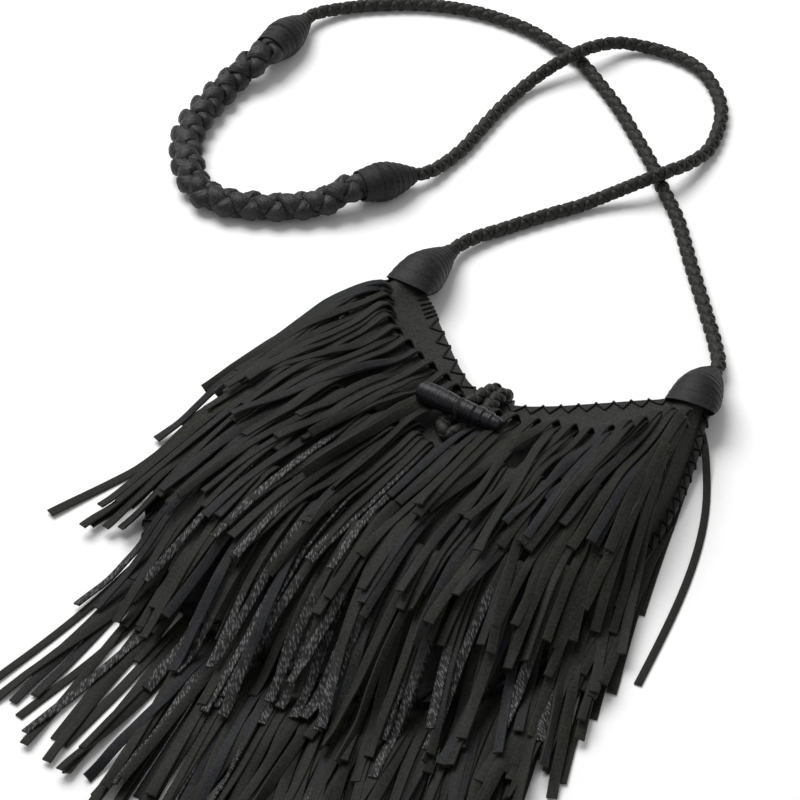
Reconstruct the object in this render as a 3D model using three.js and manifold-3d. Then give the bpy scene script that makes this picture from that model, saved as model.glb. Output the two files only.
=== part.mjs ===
// Fringe crossbody bag of black leather, lying on its back with the strap laid out on the surface.
// Millimetres. +X runs from the left horn to the right horn, +Y from the fringe to the strap, +Z is up.
// The origin is the middle of the back panel's flat underside.
import * as THREE from 'three';
import { mergeVertices } from 'three/addons/utils/BufferGeometryUtils.js';
import Module from 'manifold-3d';

const wasm = await Module();
wasm.setup();

// Leather and clearances
const LEATHER = 1.8; // wall of the front and back panels
const GAP = 0.3; // air between pieces that touch

// Pouch: half sections from the middle to the right horn, each from the mouth edge to the side seam
const SECTION_COLUMNS = [
  'mouthX', 'mouthY', 'seamX', 'seamY', // plan points of the two ends
  'frontMouth', 'flangeTop', 'crown', 'flange', // front heights, swell between them, flange width
  'backMouth', 'backSeam', 'belly', // underside of the back at the mouth and near the seam, and its sag
];
const SECTION_ROWS = [
  [0, 95, 0, -104, 17, 6.5, 25, 8, 0, 0, 0],
  [14, 98, 52, -99, 17, 6.5, 25, 8, 0, 0, 0],
  [28, 107.5, 92, -74, 16.5, 6.5, 24, 8, 0, 0, 0],
  [41, 118.5, 113, -30, 16, 6.5, 21, 8, 0, 0, 0],
  [53, 129, 117, 26, 15.5, 6.5, 17, 8, 0.4, 0, 0],
  [63, 138, 113, 80, 15, 6.8, 12, 7, 1.6, 0.8, 0],
  [70, 143, 104, 120, 15.4, 9, 9, 5, 4.8, 3.4, 1],
  [75.2, 148, 95.8, 145, 16.8, 13.8, 7.5, 3, 10.4, 8.6, 2.6],
  [77, 158, 93.4, 158, 17.6, 16.4, 7.5, 2, 11.6, 11.6, 4],
];
const CROWN_SKEW = 1.3; // moves the swell towards the seam
const EDGE_LIFT_WIDTH = 10; // band inside the flange over which the back rises off the surface
const PANEL_COLUMNS = 26; // steps from horn to horn
const FRONT_LINES = [0, 0.05, 0.12, 0.22, 0.34, 0.48, 0.62, 0.76, 0.87, 0.95, 1, 2];
const BACK_LINES = [0, 0.45, 0.8, 0.92, 1, 1.4, 2];

// Fringe: rows of strips across the front panel, from the mouth down. Tables give a row's line and the
// lean of its locks in degrees, by place across the bag. The first `bare` from the middle has no locks.
const FRINGE_ROWS = [
  {
    name: 'fringe_top', left: -80, right: 91, length: 106, hump: 2.4, bare: 12,
    line: [[-80, 131], [-69, 113], [-52, 102], [-40, 97], [-12, 88], [12, 86], [52, 95], [78, 110],
      [91, 124]],
    leans: [[-80, -20], [-69, -14], [-49, -15], [-29, -12], [-12, 0], [30, 5], [63, 3], [80, 4], [91, 11]],
  },
  {
    name: 'fringe_middle', left: -104, right: 102, length: 112, hump: 0, bare: 0,
    line: [[-104, 46], [-80, 46], [0, 40], [30, 43], [55, 49], [80, 58], [102, 72]],
    leans: [[-104, -17], [-80, -14], [-40, -11], [0, 1], [50, 6], [80, 10], [102, 14]],
  },
  {
    name: 'fringe_lower', left: -90, right: 104, length: 112, hump: 0, bare: 0,
    line: [[-90, 1], [-70, -10], [-40, -23], [0, -32], [40, -23], [70, -10], [104, 9]],
    leans: [[-90, -3], [-53, -1], [0, 8], [40, 11], [104, 16]],
  },
];
const SEAM_ROW = {
  name: 'fringe_seam', from: -0.75, to: 0.84, left: -92, right: 97, length: 116, inset: 4,
  leans: [[-92, -3], [-53, 5], [0, 12], [40, 16], [92, 20]],
};
const SEAM_FLANK = { from: 0.35, to: 0.6, count: 8, lean: 15.5, inset: 1.5 }; // locks of the right side
const SEAM_TAIL = {
  s: 0.84, lean: 41, turn: -31, length: 168, fall: 0.1, width: 5, inset: 0.9, drop: 0.6,
};
const TAIL_EASE = 2.2; // the tail turns mostly near its start
const LOCK_PITCH = 11;
const LOCK_WIDTH = 9.4;
const LOCK_THICKNESS = 1.4;
const LEVEL_STEP = 20; // every lock bends at the same lines across the bag, this far apart
const LENGTH_SPREAD = 13; // locks differ from the row's length by up to this much
const LEAN_SPREAD_DEGREES = 0.8;
const HUMP_AT = 6; // distance from the head at which a top lock stands highest
const HUMP_SPREAD = 3; // the hump fades out this many times that distance to each side
const HEAD_WIDTH = 5;
const HEAD_THICKNESS = 1.6;
const HEAD_LIFT = 1.1; // air under a head band
const HEAD_STEP = 10;
const LOCK_LIFT = 1.1; // air under a lock where it leaves its head
const LAYER = 3; // rise of a row over the row below it
const WAVE = 0.5; // most that a lock lifts off its layer
const WAVE_RISE = 3; // a front lock has its lift after one part in this many of its length
const FLOOR_WAVE_FROM = 0.2; // share of its length after which a seam lock starts to lift
const SEEDS = { length: 0, lift: 10, lean: 20 }; // offsets that keep the three disorders apart
const FLOOR_LIFT = 0.4;
const MARCH_STEP = 3; // length of one step when a lock is laid down the drape
const DRAPE_SLOPE = 0.8; // steepest fall of the fringe off the pouch
const DRAPE_BLURS = 12; // passes that round the drape's bends
const FIELD = { x: -190, y: -240, columns: 128, rows: 144, step: 3 };
const EDGE_SHARE = -1e-6; // a field point on a panel triangle's edge counts as inside it
const SEARCH_HALVINGS = 20;

// Wound cones: profile as a share of the length and a radius
const HORN_PROFILE = [[0, 13.5], [0.15, 13.7], [0.35, 12.9], [0.55, 11], [0.75, 8.2], [1, 4.5]];
const FERRULE_PROFILE = [[0, 9], [0.1, 9.9], [0.35, 11], [0.55, 10.2], [0.75, 8], [0.9, 5.8], [1, 4.3]];
const WINDINGS = 5; // turns of the wrap along a cone
const WINDING_DEPTH = 0.5;
const CONE_SIDES = 12;
const HORN_RECESS = { radius: 12.1, depth: 13 };
const CONES = {
  horn_wrap_left: {
    base: [-85, 149.5, 15.6], tip: [-84, 187, 8], profile: HORN_PROFILE, recess: HORN_RECESS,
  },
  horn_wrap_right: {
    base: [84.7, 151.3, 15.6], tip: [78.4, 184.5, 8], profile: HORN_PROFILE, recess: HORN_RECESS,
  },
  ferrule_lower: { base: [-151.3, 201.5, 12.4], tip: [-135.2, 230.4, 8], profile: FERRULE_PROFILE },
  ferrule_upper: { base: [-261, 273, 12.8], tip: [-263, 311, 8.2], profile: FERRULE_PROFILE },
};

// Strap: routes of the free braids on the surface, from cone to cone
const CORD_DIAMETER = 7;
const CORD_STEPS = 26;
const CORD_SIDES = 8;
const BRAID_WIDTH = 16.5;
const BRAID_HEIGHT = 13;
const BRAID_STEPS = 18;
const BRAID_SIDES = 12;
const LEAD = 9; // straight stretch at each end, along the cone's axis
const LEFT_ROUTE = [
  [-81, 207, 5], [-73, 223, 3.7], [-60, 245, 3.7], [-48, 263, 4], [-38, 277, 7], [-27, 291, 11],
  [-20, 304, 11.6], [-16, 320, 8], [-15, 340, 4.4], [-19, 358, 3.7], [-27, 376, 3.7], [-39, 390, 3.7],
  [-53, 400, 3.7], [-66, 404, 3.7], [-80, 404, 3.7], [-92, 401, 4.4], [-103, 393, 7.4],
  [-110, 379, 11.2], [-116, 366, 11.6], [-124, 348, 8], [-129, 329, 4.4], [-130, 309, 3.7],
  [-129, 287, 3.7], [-128, 270, 3.7], [-129, 254, 4],
];
const RIGHT_ROUTE = [
  [68.3, 202.5, 4.8], [48, 226.5, 3.7], [21, 257, 3.7], [1, 280, 3.7], [-22, 301, 3.7], [-37, 315, 3.7],
  [-58, 332, 3.7], [-76, 346, 3.7], [-96, 359, 3.7], [-115, 370, 3.7], [-135, 375, 3.7],
  [-154, 379, 3.7], [-175, 379, 3.7], [-193, 376, 3.7], [-210, 370, 3.7], [-225, 362, 3.7],
  [-239, 352, 3.7], [-252, 340, 4],
];
const BRAID_ROUTE = [
  [-162.3, 184, 8.4], [-171.5, 175, 7], [-182.5, 166.6, 6.7], [-194, 160.2, 6.7], [-206, 155.6, 6.7],
  [-218, 155, 6.7], [-232, 160, 6.7], [-243.8, 170.6, 6.7], [-252.8, 182.6, 6.7],
  [-260, 196.7, 6.7], [-263.2, 212.5, 6.7], [-265.4, 226.7, 6.7], [-265.8, 245.2, 7.2],
];

// Toggle closure on the front panel, below the middle of the mouth
const TOGGLE = { left: -22.5, right: 25.5, y: 62.5, z: 37 };
const TOGGLE_PROFILE = [
  [0, 3.2], [0.04, 4.6], [0.16, 5.1], [0.45, 4.6], [0.68, 4.1], [0.7, 4.8], [0.79, 4.6],
  [0.81, 4.1], [0.89, 3.9], [0.91, 3.3], [1, 2.6],
];
const TOGGLE_SIDES = 12;
const THONG = { width: 5, wall: 1.3, stem: 1.6, sides: 12 };
const LOOP_DIAMETER = 6.4;
const LOOP_STEPS = 26;
const LOOP_SIDES = 8;
// One leg of the loop, from the back panel's inside over the mouth edge: distance from the middle, y, z
const LOOP_LEG = [
  [3.8, 84, 5.4], [3.8, 96, 7], [3.8, 103.5, 13], [3.8, 101, 20], [4, 92, 24], [5, 82, 24.6],
  [6, 72, 26.2], [6, 62.5, 27.6], [5, 56, 29.2],
];
const LOOP_END_Y = 50;

// Colours and roughness
const LEATHER_BLACK = 0x25262a;
const SUEDE_BLACK = 0x2b2d33;
const BRAID_BLACK = 0x1f2023;
const WRAP_BLACK = 0x292a2e;
const SMOOTH = 0.5; // roughness of braids and wrappings
const GRAIN = 0.6; // roughness of the panels
const FLESH = 0.7; // roughness of the strips

// A repeatable share between 0 and 1 for a pair of whole numbers
function share(row, index) {
  const wide = Math.sin(row * 78.233 + index * 12.9898) * 43758.5453;
  return wide - Math.floor(wide);
}

// Value of one table column at a place along the rows, as a smooth curve through them
function column(name, place) {
  const at = SECTION_COLUMNS.indexOf(name);
  const last = SECTION_ROWS.length - 1;
  const mirrored = name.endsWith('X') ? -1 : 1;
  const value = (row) => {
    if (row < 0) return mirrored * SECTION_ROWS[-row][at];
    if (row > last) return 2 * SECTION_ROWS[last][at] - SECTION_ROWS[last - 1][at];
    return SECTION_ROWS[row][at];
  };
  const row = Math.min(Math.floor(place), last - 1);
  const t = place - row;
  const before = value(row);
  const after = value(row + 1);
  const leaving = (after - value(row - 1)) / 2;
  const arriving = (value(row + 2) - before) / 2;
  const bend = 3 * (after - before) - 2 * leaving - arriving;
  const twist = 2 * (before - after) + leaving + arriving;
  return before + t * (leaving + t * (bend + t * twist));
}

// The section at s, from -1 at the left horn to 1 at the right horn
function sectionAt(s) {
  const place = Math.abs(s) * (SECTION_ROWS.length - 1);
  const side = Math.sign(s) || 1;
  const read = (name) => column(name, place);
  const mouth = new THREE.Vector2(side * read('mouthX'), read('mouthY'));
  const seam = new THREE.Vector2(side * read('seamX'), read('seamY'));
  const span = mouth.distanceTo(seam);
  const foot = seam.clone().lerp(mouth, read('flange') / span);
  return { mouth, seam, foot, span, read };
}

// Plan point of a section: 0 at the mouth, 1 at the foot of the crown, 2 at the seam edge
function planPoint(section, w) {
  if (w > 1) return section.foot.clone().lerp(section.seam, w - 1);
  return section.mouth.clone().lerp(section.foot, w);
}

// Outer surface of the front panel
function frontPoint(s, w) {
  const section = sectionAt(s);
  const plan = planPoint(section, w);
  const inside = Math.min(w, 1);
  const swell = Math.sin(Math.PI * inside ** CROWN_SKEW);
  const base = THREE.MathUtils.lerp(section.read('frontMouth'), section.read('flangeTop'), inside);
  return new THREE.Vector3(plan.x, plan.y, base + section.read('crown') * (w < 1 ? swell : 0));
}

// Underside of the back panel: flat on the surface, lifted to the seam flange and to the horns
function backPoint(s, w) {
  const section = sectionAt(s);
  const plan = planPoint(section, w);
  const inside = Math.min(w, 1);
  const sag = section.read('belly') * Math.sin(Math.PI * inside);
  const level = THREE.MathUtils.lerp(section.read('backMouth'), section.read('backSeam'), inside) - sag;
  const flangeUnder = section.read('flangeTop') - 2 * LEATHER - GAP;
  const toFoot = plan.distanceTo(section.foot) * (w > 1 ? -1 : 1);
  const lift = 1 - THREE.MathUtils.smoothstep(toFoot, 0, EDGE_LIFT_WIDTH);
  return new THREE.Vector3(plan.x, plan.y, Math.max(0, THREE.MathUtils.lerp(level, flangeUnder, lift)));
}

// Grid of points over a panel: grid[i][j], i from horn to horn, j along the given lines
function panelGrid(point, lines) {
  const columns = Array.from({ length: PANEL_COLUMNS + 1 }, (_, i) => -1 + (2 * i) / PANEL_COLUMNS);
  return columns.map((s) => lines.map((w) => point(s, w)));
}

// Normals of a grid, averaged over the quads that meet at each point
function gridNormals(grid) {
  const normals = grid.map((line) => line.map(() => new THREE.Vector3()));
  for (let i = 0; i + 1 < grid.length; i += 1) {
    for (let j = 0; j + 1 < grid[i].length; j += 1) {
      const down = grid[i][j + 1].clone().sub(grid[i + 1][j]);
      const across = grid[i + 1][j + 1].clone().sub(grid[i][j]);
      const normal = down.cross(across).normalize();
      for (const [a, b] of [[i, j], [i + 1, j], [i, j + 1], [i + 1, j + 1]]) normals[a][b].add(normal);
    }
  }
  return normals.map((line) => line.map((normal) => normal.normalize()));
}

// Closed geometry between two grids of the same size, the first one on top
function shell(top, bottom) {
  const across = top.length;
  const along = top[0].length;
  const positions = [];
  for (const grid of [top, bottom]) {
    for (const line of grid) line.forEach((p) => positions.push(p.x, p.y, p.z));
  }
  const upper = (i, j) => i * along + j;
  const lower = (i, j) => across * along + i * along + j;
  const faces = [];
  const quad = (a, b, c, d) => faces.push(a, b, c, a, c, d);
  for (let i = 0; i + 1 < across; i += 1) {
    for (let j = 0; j + 1 < along; j += 1) {
      quad(upper(i, j), upper(i, j + 1), upper(i + 1, j + 1), upper(i + 1, j));
      quad(lower(i, j), lower(i + 1, j), lower(i + 1, j + 1), lower(i, j + 1));
    }
  }
  for (let i = 0; i + 1 < across; i += 1) {
    quad(upper(i, 0), upper(i + 1, 0), lower(i + 1, 0), lower(i, 0));
    quad(upper(i + 1, along - 1), upper(i, along - 1), lower(i, along - 1), lower(i + 1, along - 1));
  }
  for (let j = 0; j + 1 < along; j += 1) {
    quad(upper(0, j + 1), upper(0, j), lower(0, j), lower(0, j + 1));
    quad(upper(across - 1, j), upper(across - 1, j + 1), lower(across - 1, j + 1), lower(across - 1, j));
  }
  const geometry = new THREE.BufferGeometry();
  geometry.setAttribute('position', new THREE.Float32BufferAttribute(positions, 3));
  geometry.setIndex(faces);
  return geometry;
}

// Grid moved up by one height for all points
function raised(grid, height) {
  return grid.map((line) => line.map((p) => p.clone().setZ(p.z + height)));
}

// Geometry with only positions, its shared vertices merged
function welded(geometry) {
  geometry.deleteAttribute('normal');
  geometry.deleteAttribute('uv');
  return mergeVertices(geometry);
}

// Several closed geometries joined into one solid
function joined(geometries) {
  const solids = geometries.map((geometry) => new wasm.Manifold(new wasm.Mesh({
    numProp: 3,
    vertProperties: new Float32Array(geometry.getAttribute('position').array),
    triVerts: new Uint32Array(geometry.getIndex().array),
  })));
  const mesh = wasm.Manifold.union(solids).getMesh();
  const geometry = new THREE.BufferGeometry();
  geometry.setAttribute('position', new THREE.Float32BufferAttribute(mesh.vertProperties, 3));
  geometry.setIndex(Array.from(mesh.triVerts));
  return geometry;
}

// Front and back panels
const frontGrid = panelGrid(frontPoint, FRONT_LINES);

function frontPanel() {
  const normals = gridNormals(frontGrid);
  const inner = frontGrid.map((line, i) => line.map((p, j) => {
    return p.clone().addScaledVector(normals[i][j], -LEATHER);
  }));
  return shell(frontGrid, inner);
}

function backPanel() {
  const under = panelGrid(backPoint, BACK_LINES);
  return shell(raised(under, LEATHER), under);
}

// Value of a table of places and values, held beyond its ends
function tableAt(table, x) {
  const after = table.findIndex(([place]) => x < place);
  if (after < 0) return table[table.length - 1][1];
  if (after === 0) return table[0][1];
  const [[from, a], [to, b]] = [table[after - 1], table[after]];
  return THREE.MathUtils.mapLinear(x, from, to, a, b);
}

// Plan line of a fringe row across the front
function rowLine(row, x) {
  return tableAt(row.line, x);
}

// Rows passed on the way down to a plan point: whole numbers on the rows' own lines
function rowCount(x, y) {
  const lines = FRINGE_ROWS.map((row) => rowLine(row, x));
  const above = lines.filter((line) => line > y).length;
  const from = THREE.MathUtils.clamp(above - 1, 0, lines.length - 2);
  const count = 1 + from + (lines[from] - y) / (lines[from] - lines[from + 1]);
  return Math.min(count, FRINGE_ROWS.length + 1);
}

// Heights that the fringe drapes over, on a square field of points
function drapeField() {
  const { x, y, columns, rows, step } = FIELD;
  const height = new Float32Array(columns * rows);
  const fill = (a, b, c) => {
    const xs = [a.x, b.x, c.x];
    const ys = [a.y, b.y, c.y];
    const area = (b.x - a.x) * (c.y - a.y) - (c.x - a.x) * (b.y - a.y);
    for (let i = Math.ceil((Math.min(...xs) - x) / step); x + i * step <= Math.max(...xs); i += 1) {
      for (let j = Math.ceil((Math.min(...ys) - y) / step); y + j * step <= Math.max(...ys); j += 1) {
        const px = x + i * step;
        const py = y + j * step;
        const shareB = ((px - a.x) * (c.y - a.y) - (c.x - a.x) * (py - a.y)) / area;
        const shareC = ((b.x - a.x) * (py - a.y) - (px - a.x) * (b.y - a.y)) / area;
        const shareA = 1 - shareB - shareC;
        if (Math.min(shareA, shareB, shareC) < EDGE_SHARE) continue;
        height[j * columns + i] = shareA * a.z + shareB * b.z + shareC * c.z;
      }
    }
  };
  for (let i = 0; i < PANEL_COLUMNS; i += 1) {
    for (let j = 0; j + 1 < FRONT_LINES.length; j += 1) {
      const corner = frontGrid[i][j];
      const opposite = frontGrid[i + 1][j + 1];
      fill(corner, frontGrid[i][j + 1], opposite);
      fill(corner, opposite, frontGrid[i + 1][j]);
    }
  }
  soften(height);
  return height;
}

// Lets the heights fall no steeper than the drape, and rounds its bends without sinking into the panel
function soften(height) {
  const { columns, rows, step } = FIELD;
  const panel = height.slice();
  const around = [[-1, 0], [1, 0], [0, -1], [0, 1], [-1, -1], [1, -1], [-1, 1], [1, 1]];
  const eachPoint = (change) => {
    const before = height.slice();
    for (let j = 1; j + 1 < rows; j += 1) {
      for (let i = 1; i + 1 < columns; i += 1) {
        const at = j * columns + i;
        height[at] = change(at, around.map(([di, dj]) => before[at + dj * columns + di]));
      }
    }
  };
  const falls = around.map(([di, dj]) => DRAPE_SLOPE * step * Math.hypot(di, dj));
  const passes = Math.ceil(Math.max(...panel) / DRAPE_SLOPE / step);
  for (let pass = 0; pass < passes; pass += 1) {
    eachPoint((at, near) => Math.max(height[at], ...near.map((value, k) => value - falls[k])));
  }
  for (let pass = 0; pass < DRAPE_BLURS; pass += 1) {
    eachPoint((at, near) => {
      const mean = near.reduce((sum, value) => sum + value, 0) / near.length;
      return Math.max(panel[at], mean);
    });
  }
}

const drape = drapeField();

// Height of the drape at a plan point
function drapeAt(px, py) {
  const { x, y, columns, step } = FIELD;
  const [u, v] = [(px - x) / step, (py - y) / step];
  const [i, j] = [Math.floor(u), Math.floor(v)];
  const at = j * columns + i;
  const near = THREE.MathUtils.lerp(drape[at], drape[at + 1], u - i);
  const far = THREE.MathUtils.lerp(drape[at + columns], drape[at + columns + 1], u - i);
  return THREE.MathUtils.lerp(near, far, v - j);
}

// Underside of a lock of one row at a plan point
function layerHeight(rowNumber, px, py) {
  return drapeAt(px, py) + LOCK_LIFT + LAYER * Math.max(0, rowCount(px, py) - rowNumber);
}

// Plan points of one lock, laid down the drape from its start, with a point at each level that it crosses
function lockRoute({ start, lean, turn, length }, heightAt) {
  const at = start.clone();
  const route = [start.clone()];
  const steps = Math.round(length / MARCH_STEP);
  for (let k = 1; k <= steps; k += 1) {
    const angle = lean + turn * (1 - (1 - k / steps) ** TAIL_EASE);
    const heading = new THREE.Vector2(Math.sin(angle), -Math.cos(angle));
    const ahead = at.clone().addScaledVector(heading, MARCH_STEP);
    const rise = heightAt(ahead.x, ahead.y) - heightAt(at.x, at.y);
    const stride = MARCH_STEP ** 2 / Math.hypot(MARCH_STEP, rise);
    const level = LEVEL_STEP * (Math.ceil(at.y / LEVEL_STEP) - 1);
    const toLevel = (at.y - level) / Math.cos(angle);
    if (toLevel <= stride && k < steps) route.push(at.clone().addScaledVector(heading, toLevel));
    at.addScaledVector(heading, stride);
  }
  route.push(at);
  return route;
}

// One flat lock whose two edges lie on the given heights
function lock(shape, heightAt) {
  const route = lockRoute(shape, heightAt);
  const last = route.length - 1;
  const side = (j) => {
    const heading = route[Math.min(j + 1, last)].clone().sub(route[Math.max(j - 1, 0)]).normalize();
    return new THREE.Vector2(-heading.y, heading.x).multiplyScalar(shape.width / 2);
  };
  const edges = [-1, 1].map((sign) => route.map((p, j) => {
    const edge = p.clone().addScaledVector(side(j), sign);
    const travelled = p.distanceTo(route[0]) / route[last].distanceTo(route[0]);
    return new THREE.Vector3(edge.x, edge.y, heightAt(edge.x, edge.y, travelled));
  }));
  return shell(raised(edges, LOCK_THICKNESS), edges);
}

// Lean of a lock in radians, with a little disorder
function leanOf(row, x, jitter) {
  return THREE.MathUtils.degToRad(tableAt(row.leans, x) + (2 * jitter - 1) * LEAN_SPREAD_DEGREES);
}

// Places across a row, one pitch apart and even between its ends
function placesAcross({ left, right }) {
  const count = Math.floor((right - left) / LOCK_PITCH) + 1;
  return Array.from({ length: count }, (_, i) => (left + right) / 2 + (i - (count - 1) / 2) * LOCK_PITCH);
}

// Head band of a front row: a narrow ribbon that follows the panel along the row's line
function headBand(row) {
  const steps = Math.ceil((row.right - row.left) / HEAD_STEP);
  const band = Array.from({ length: steps + 1 }, (_, i) => {
    const x = THREE.MathUtils.lerp(row.left, row.right, i / steps);
    return [HEAD_WIDTH / 2, -HEAD_WIDTH / 2].map((offset) => {
      const y = rowLine(row, x) + offset;
      return new THREE.Vector3(x, y, drapeAt(x, y) + HEAD_LIFT);
    });
  });
  return shell(raised(band, HEAD_THICKNESS), band);
}

function fringeRow(row, rowNumber) {
  const pieces = [headBand(row)];
  placesAcross(row).forEach((x, i) => {
    if (Math.abs(x) < row.bare) return;
    const lift = WAVE * share(rowNumber + SEEDS.lift, i);
    const length = row.length + LENGTH_SPREAD * (2 * share(rowNumber + SEEDS.length, i) - 1);
    const humpShare = HUMP_AT / length;
    const heightAt = (px, py, t = 1) => {
      const hump = row.hump * Math.max(0, 1 - Math.abs(t - humpShare) / (HUMP_SPREAD * humpShare));
      return layerHeight(rowNumber, px, py) + lift * Math.min(1, WAVE_RISE * t) + (t > 0 ? hump : 0);
    };
    const lean = leanOf(row, x, share(rowNumber + SEEDS.lean, i));
    const start = new THREE.Vector2(x, rowLine(row, x));
    pieces.push(lock({ start, lean, turn: 0, length, width: LOCK_WIDTH }, heightAt));
  });
  return joined(pieces);
}

// Plan point a given distance inside the seam edge
function insideSeam(s, distance) {
  const section = sectionAt(s);
  return section.seam.clone().lerp(section.mouth, distance / section.span);
}

// Section whose point inside the seam has the given x, on the lower half of the bag
function lowerSection(x, distance) {
  let [near, far] = [0, SEAM_ROW.to / 2];
  for (let halving = 0; halving < SEARCH_HALVINGS; halving += 1) {
    const s = (near + far) / 2;
    if (insideSeam(s, distance).x < Math.abs(x)) near = s;
    else far = s;
  }
  return Math.sign(x) * near;
}

// Underside of the seam row's head: on the surface, or under the flange where that rises to the horns
function seamHeadHeight(s) {
  const flangeUnder = sectionAt(s).read('flangeTop') - 2 * LEATHER - GAP;
  return Math.max(FLOOR_LIFT, flangeUnder - GAP - LOCK_THICKNESS);
}

// The long lace end: it falls from the flange to the surface and turns down beside the fringe
function seamTail() {
  const top = seamHeadHeight(SEAM_TAIL.s) - SEAM_TAIL.drop;
  const heightAt = (px, py, t = 1) => {
    return THREE.MathUtils.lerp(top, FLOOR_LIFT, THREE.MathUtils.smoothstep(t, 0, SEAM_TAIL.fall));
  };
  const start = insideSeam(SEAM_TAIL.s, SEAM_TAIL.inset);
  const lean = THREE.MathUtils.degToRad(SEAM_TAIL.lean);
  const turn = THREE.MathUtils.degToRad(SEAM_TAIL.turn);
  return lock({ ...SEAM_TAIL, start, lean, turn }, heightAt);
}

// Row held in the seam: its head lies under the back's flange and its locks lie on the surface
function seamFringe() {
  const row = SEAM_ROW;
  const rowNumber = FRINGE_ROWS.length + 1;
  const band = Array.from({ length: PANEL_COLUMNS + 1 }, (_, i) => {
    const s = THREE.MathUtils.lerp(row.from, row.to, i / PANEL_COLUMNS);
    const narrowed = sectionAt(s).read('flange') / sectionAt(0).read('flange');
    return [row.inset + HEAD_WIDTH / 2, row.inset - HEAD_WIDTH / 2].map((distance) => {
      const p = insideSeam(s, distance * narrowed);
      return new THREE.Vector3(p.x, p.y, seamHeadHeight(s));
    });
  });
  const pieces = [shell(raised(band, LOCK_THICKNESS), band)];
  const addLock = (start, lean, i) => {
    const length = row.length + LENGTH_SPREAD * (2 * share(rowNumber + SEEDS.length, i) - 1);
    const lift = WAVE * share(rowNumber + SEEDS.lift, i);
    const heightAt = (px, py, t = 1) => {
      return FLOOR_LIFT + lift * THREE.MathUtils.smoothstep(t, FLOOR_WAVE_FROM, 1);
    };
    pieces.push(lock({ start, lean, turn: 0, length, width: LOCK_WIDTH }, heightAt));
  };
  const places = placesAcross(row);
  places.forEach((x, i) => {
    const start = insideSeam(lowerSection(x, row.inset), row.inset);
    addLock(start, leanOf(row, x, share(rowNumber + SEEDS.lean, i)), i);
  });
  for (let k = 0; k < SEAM_FLANK.count; k += 1) {
    const s = THREE.MathUtils.lerp(SEAM_FLANK.from, SEAM_FLANK.to, k / (SEAM_FLANK.count - 1));
    const start = insideSeam(s, SEAM_FLANK.inset);
    addLock(start, THREE.MathUtils.degToRad(SEAM_FLANK.lean), places.length + k);
  }
  pieces.push(seamTail());
  return joined(pieces);
}

// Profile with the rounded turns of a wound strip
function woundProfile(profile, length) {
  const radiusAt = (t) => {
    const k = Math.max(1, profile.findIndex(([place]) => t <= place));
    const [[from, a], [to, b]] = [profile[k - 1], profile[k]];
    return THREE.MathUtils.mapLinear(t, from, to, a, b);
  };
  const points = [];
  for (let turn = 0; turn < WINDINGS; turn += 1) {
    const start = turn / WINDINGS;
    const middle = (turn + 0.5) / WINDINGS;
    points.push(new THREE.Vector2(radiusAt(start) - WINDING_DEPTH, start * length));
    points.push(new THREE.Vector2(radiusAt(middle), middle * length));
  }
  points.push(new THREE.Vector2(radiusAt(1), length));
  return points;
}

// Mesh of one piece, with a material of its own
function piece(name, geometry, color, roughness) {
  const material = new THREE.MeshStandardMaterial({ color, roughness, metalness: 0 });
  const mesh = new THREE.Mesh(geometry, material);
  mesh.name = name;
  return mesh;
}

// Axis of a cone, from base to tip
function coneAxis(name) {
  const base = new THREE.Vector3(...CONES[name].base);
  const tip = new THREE.Vector3(...CONES[name].tip);
  return { base, tip, length: base.distanceTo(tip), along: tip.clone().sub(base).normalize() };
}

function cone(name) {
  const { profile, recess } = CONES[name];
  const { base, length, along } = coneAxis(name);
  const outline = woundProfile(profile, length);
  const socket = recess
    ? [new THREE.Vector2(0, recess.depth), new THREE.Vector2(recess.radius, recess.depth),
      new THREE.Vector2(recess.radius, 0)]
    : [new THREE.Vector2(0, 0)];
  const wound = [...socket, ...outline, new THREE.Vector2(0, length)];
  const mesh = piece(name, new THREE.LatheGeometry(wound, CONE_SIDES), WRAP_BLACK, SMOOTH);
  mesh.position.copy(base);
  mesh.quaternion.setFromUnitVectors(new THREE.Vector3(0, 1, 0), along);
  return mesh;
}

// Section of a cord: a polygon in the plane across its route
function oval(width, height, sides) {
  const points = Array.from({ length: sides }, (_, k) => {
    const angle = (2 * Math.PI * (k + 0.5)) / sides;
    return new THREE.Vector2((height / 2) * Math.cos(angle), (width / 2) * Math.sin(angle));
  });
  return new THREE.Shape(points);
}

function tube(points, section, steps) {
  const path = new THREE.CatmullRomCurve3(points, false, 'centripetal');
  return new THREE.ExtrudeGeometry(section, { extrudePath: path, steps, curveSegments: 1 });
}

// Route from one cone end to another, leaving and arriving along their axes
function strapRoute(route, start, startAlong, end, endAlong) {
  const from = start.clone().addScaledVector(startAlong, GAP);
  const to = end.clone().addScaledVector(endAlong, GAP);
  return [
    from, from.clone().addScaledVector(startAlong, LEAD),
    ...route.map((p) => new THREE.Vector3(...p)),
    to.clone().addScaledVector(endAlong, LEAD), to,
  ];
}

function strap() {
  const ends = Object.fromEntries(Object.keys(CONES).map((name) => [name, coneAxis(name)]));
  const round = oval(CORD_DIAMETER, CORD_DIAMETER, CORD_SIDES);
  const flat = oval(BRAID_WIDTH, BRAID_HEIGHT, BRAID_SIDES);
  const { horn_wrap_left: left, horn_wrap_right: right, ferrule_lower: lower, ferrule_upper: upper } = ends;
  const leftRoute = strapRoute(LEFT_ROUTE, left.tip, left.along, lower.tip, lower.along);
  const rightRoute = strapRoute(RIGHT_ROUTE, right.tip, right.along, upper.tip, upper.along);
  const back = (end) => end.along.clone().negate();
  const braidRoute = strapRoute(BRAID_ROUTE, lower.base, back(lower), upper.base, back(upper));
  return [
    piece('strap_cord_left', tube(leftRoute, round, CORD_STEPS), BRAID_BLACK, SMOOTH),
    piece('strap_cord_right', tube(rightRoute, round, CORD_STEPS), BRAID_BLACK, SMOOTH),
    piece('shoulder_braid', tube(braidRoute, flat, BRAID_STEPS), BRAID_BLACK, SMOOTH),
  ];
}

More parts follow.
